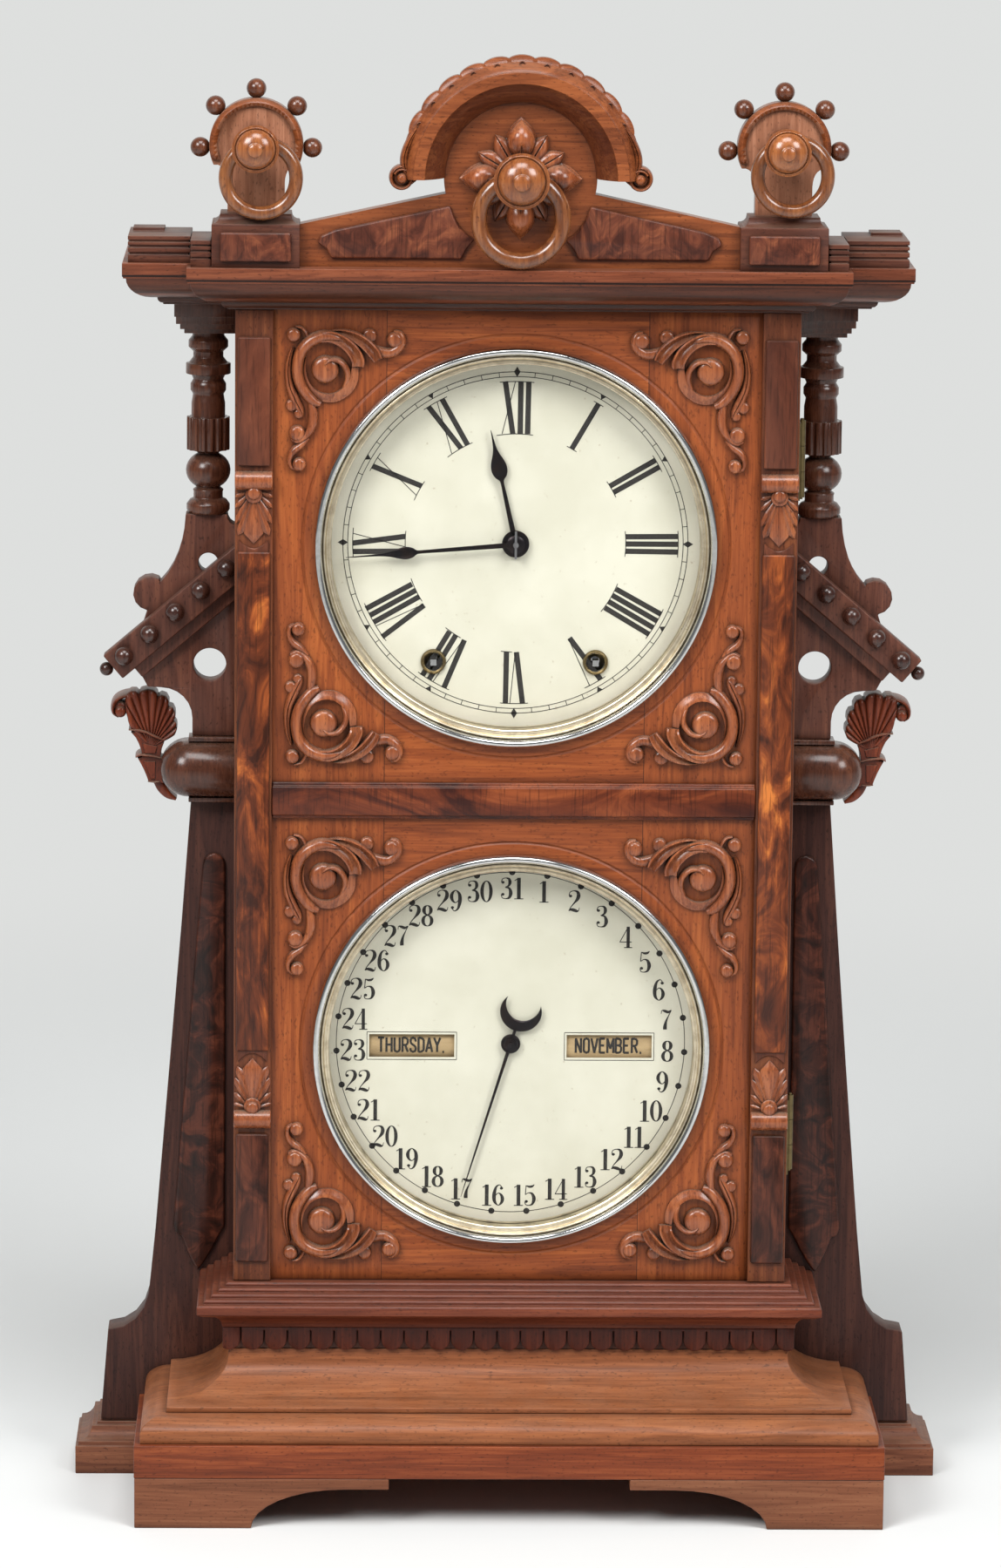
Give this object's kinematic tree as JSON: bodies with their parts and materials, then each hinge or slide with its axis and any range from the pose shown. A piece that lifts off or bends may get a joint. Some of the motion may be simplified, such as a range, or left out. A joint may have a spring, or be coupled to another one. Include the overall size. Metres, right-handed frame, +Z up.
{
  "type": "calendar clock",
  "caption": "Carved walnut double-dial shelf clock with a time dial above a perpetual calendar dial on one hinged glazed door, pull rings, turned columns and a stepped base.",
  "frame": {"origin": "middle of the footprint on the floor", "axes": "+Z up, -Y towards the viewer of the dials, +X to that viewer's right"},
  "size_m": [0.481, 0.16, 0.7996],
  "materials": {
    "walnut": "satin, moulded black-brown walnut",
    "walnut_red": "satin varnish, red-brown walnut",
    "burl": "glossy varnish on figured burl",
    "dark_walnut": "darkened walnut, satin",
    "pine": "plain board, matt",
    "dial": "aged cream paper on zinc",
    "paper_roll": "tan paper on a wooden drum",
    "brass": "lacquered brass",
    "steel": "polished steel",
    "nickel": "dulled nickel plate",
    "blued": "blued steel, nearly black",
    "glass": "clear flat glass"
  },
  "bodies": {
    "case": {"bracket_feet": "walnut", "plinth_frame": "walnut_red", "base_moulding": "walnut_red", "scalloped_apron": "walnut", "sill_moulding": "walnut_red", "case_boards": "walnut", "back_panel": "pine", "rear_plinth": "walnut", "wing_boards": "dark_walnut", "veneer_panels": "burl", "bracket_boards": "dark_walnut", "rake_rails": "dark_walnut", "ball_studs": "dark_walnut", "bolsters": "walnut", "palmettes": "walnut_red", "columns": "dark_walnut", "cornice": "walnut_red", "parapet_blocks": "walnut", "pediment_board": "walnut_red", "crest_hood": "walnut_red", "rosette": "burl", "ring_knobs": "burl", "finial_blocks": "walnut", "finial_boards": "walnut", "dial_board": "pine", "time_dial": "dial", "calendar_dial": "dial", "movement_frame": "brass", "mainsprings": "steel", "gong": "steel", "calendar_frame": "steel", "hinge_case_leaves": "brass"},
    "door": {"door_frame": "walnut_red", "door_stiles": "walnut", "stile_panels": "burl", "stile_carvings": "walnut_red", "door_mid_rail": "burl", "corner_carvings": "walnut_red", "dial_bezels": "nickel", "dial_glasses": "glass", "hinge_door_leaves": "brass"},
    "centre_ring": {"centre_ring": "burl"},
    "left_ring": {"left_ring": "burl"},
    "right_ring": {"right_ring": "burl"},
    "minute": {"minute_hand": "blued", "centre_arbor": "brass"},
    "hour": {"hour_hand": "blued", "hour_wheel": "brass"},
    "time_winding": {"time_winding_arbor": "steel"},
    "strike_winding": {"strike_winding_arbor": "steel"},
    "main_wheel": {"time_main_wheel": "brass"},
    "second_wheel": {"second_wheel": "brass"},
    "escape_wheel": {"escape_wheel": "brass"},
    "verge": {"verge": "steel"},
    "pendulum": {"pendulum": "brass"},
    "hammer": {"hammer": "brass"},
    "date": {"date_hand": "blued"},
    "day_roller": {"day_roller": "paper_roll"},
    "month_roller": {"month_roller": "paper_roll"},
    "lift_rod": {"calendar_lift_rod": "steel"}
  },
  "joints": [
    {"name": "door_hinge", "type": "hinge", "parent": "case", "child": "door", "pos_m": [0.1539, -0.01, 0.3934], "axis": [0, 0, 1], "range_deg": [0, 110]},
    {"name": "centre_ring_swing", "type": "hinge", "parent": "case", "child": "centre_ring", "pos_m": [0, -0.0517, 0.7354], "axis": [-1, 0, 0], "range_deg": [0, 35]},
    {"name": "left_ring_swing", "type": "hinge", "parent": "case", "child": "left_ring", "pos_m": [-0.14078, -0.049, 0.75207], "axis": [-0.9863, 0, -0.165], "range_deg": [0, 35]},
    {"name": "right_ring_swing", "type": "hinge", "parent": "case", "child": "right_ring", "pos_m": [0.13911, -0.049, 0.75463], "axis": [-0.9659, 0, -0.2588], "range_deg": [0, 35]},
    {"name": "minute_arbor_spin", "type": "hinge", "parent": "case", "child": "minute", "pos_m": [0, 0.014, 0.5328], "axis": [0, 1, 0], "continuous": true},
    {"name": "hour_wheel_spin", "type": "hinge", "parent": "case", "child": "hour", "pos_m": [0, 0.014, 0.5328], "axis": [0, 1, 0], "continuous": true},
    {"name": "time_winding_spin", "type": "hinge", "parent": "case", "child": "time_winding", "pos_m": [0.044, 0.014, 0.4678], "axis": [0, 1, 0], "continuous": true},
    {"name": "strike_winding_spin", "type": "hinge", "parent": "case", "child": "strike_winding", "pos_m": [-0.044, 0.014, 0.4678], "axis": [0, 1, 0], "continuous": true},
    {"name": "main_wheel_spin", "type": "hinge", "parent": "case", "child": "main_wheel", "pos_m": [0.044, 0.041, 0.4678], "axis": [0, 1, 0], "continuous": true},
    {"name": "second_wheel_spin", "type": "hinge", "parent": "case", "child": "second_wheel", "pos_m": [0.02247, 0.038, 0.4996], "axis": [0, 1, 0], "continuous": true},
    {"name": "escape_wheel_spin", "type": "hinge", "parent": "case", "child": "escape_wheel", "pos_m": [0, 0.028, 0.5603], "axis": [0, 1, 0], "continuous": true},
    {"name": "verge_rock", "type": "hinge", "parent": "case", "child": "verge", "pos_m": [0, 0.028, 0.5773], "axis": [0, 1, 0], "range_deg": [-3.8, 3.8]},
    {"name": "pendulum_swing", "type": "hinge", "parent": "case", "child": "pendulum", "pos_m": [0, 0.056, 0.5903], "axis": [0, 1, 0], "range_deg": [-3, 3]},
    {"name": "hammer_lift", "type": "hinge", "parent": "case", "child": "hammer", "pos_m": [-0.012, 0.068, 0.4563], "axis": [0, -1, 0], "range_deg": [0, 20]},
    {"name": "date_hand_spin", "type": "hinge", "parent": "case", "child": "date", "pos_m": [0, 0.014, 0.2555], "axis": [0, 1, 0], "continuous": true},
    {"name": "day_roller_spin", "type": "hinge", "parent": "case", "child": "day_roller", "pos_m": [-0.0542, 0.009, 0.2536], "axis": [1, 0, 0], "continuous": true},
    {"name": "month_roller_spin", "type": "hinge", "parent": "case", "child": "month_roller", "pos_m": [0.0542, 0.0199, 0.2536], "axis": [1, 0, 0], "continuous": true},
    {"name": "lift_rod_slide", "type": "slide", "parent": "case", "child": "lift_rod", "axis": [0, 0, 1], "range_m": [0, 0.006]}
  ],
  "couplings": [
    {"joint": "hour_wheel_spin", "follows": "minute_arbor_spin", "ratio": 0.083333},
    {"joint": "second_wheel_spin", "follows": "minute_arbor_spin", "ratio": -0.11111},
    {"joint": "main_wheel_spin", "follows": "minute_arbor_spin", "ratio": 0.016835},
    {"joint": "escape_wheel_spin", "follows": "minute_arbor_spin", "ratio": -8},
    {"joint": "verge_rock", "follows": "pendulum_swing", "ratio": 1.228},
    {"joint": "day_roller_spin", "follows": "date_hand_spin", "ratio": 4.4286},
    {"joint": "month_roller_spin", "follows": "date_hand_spin", "ratio": 0.083333}
  ]
}
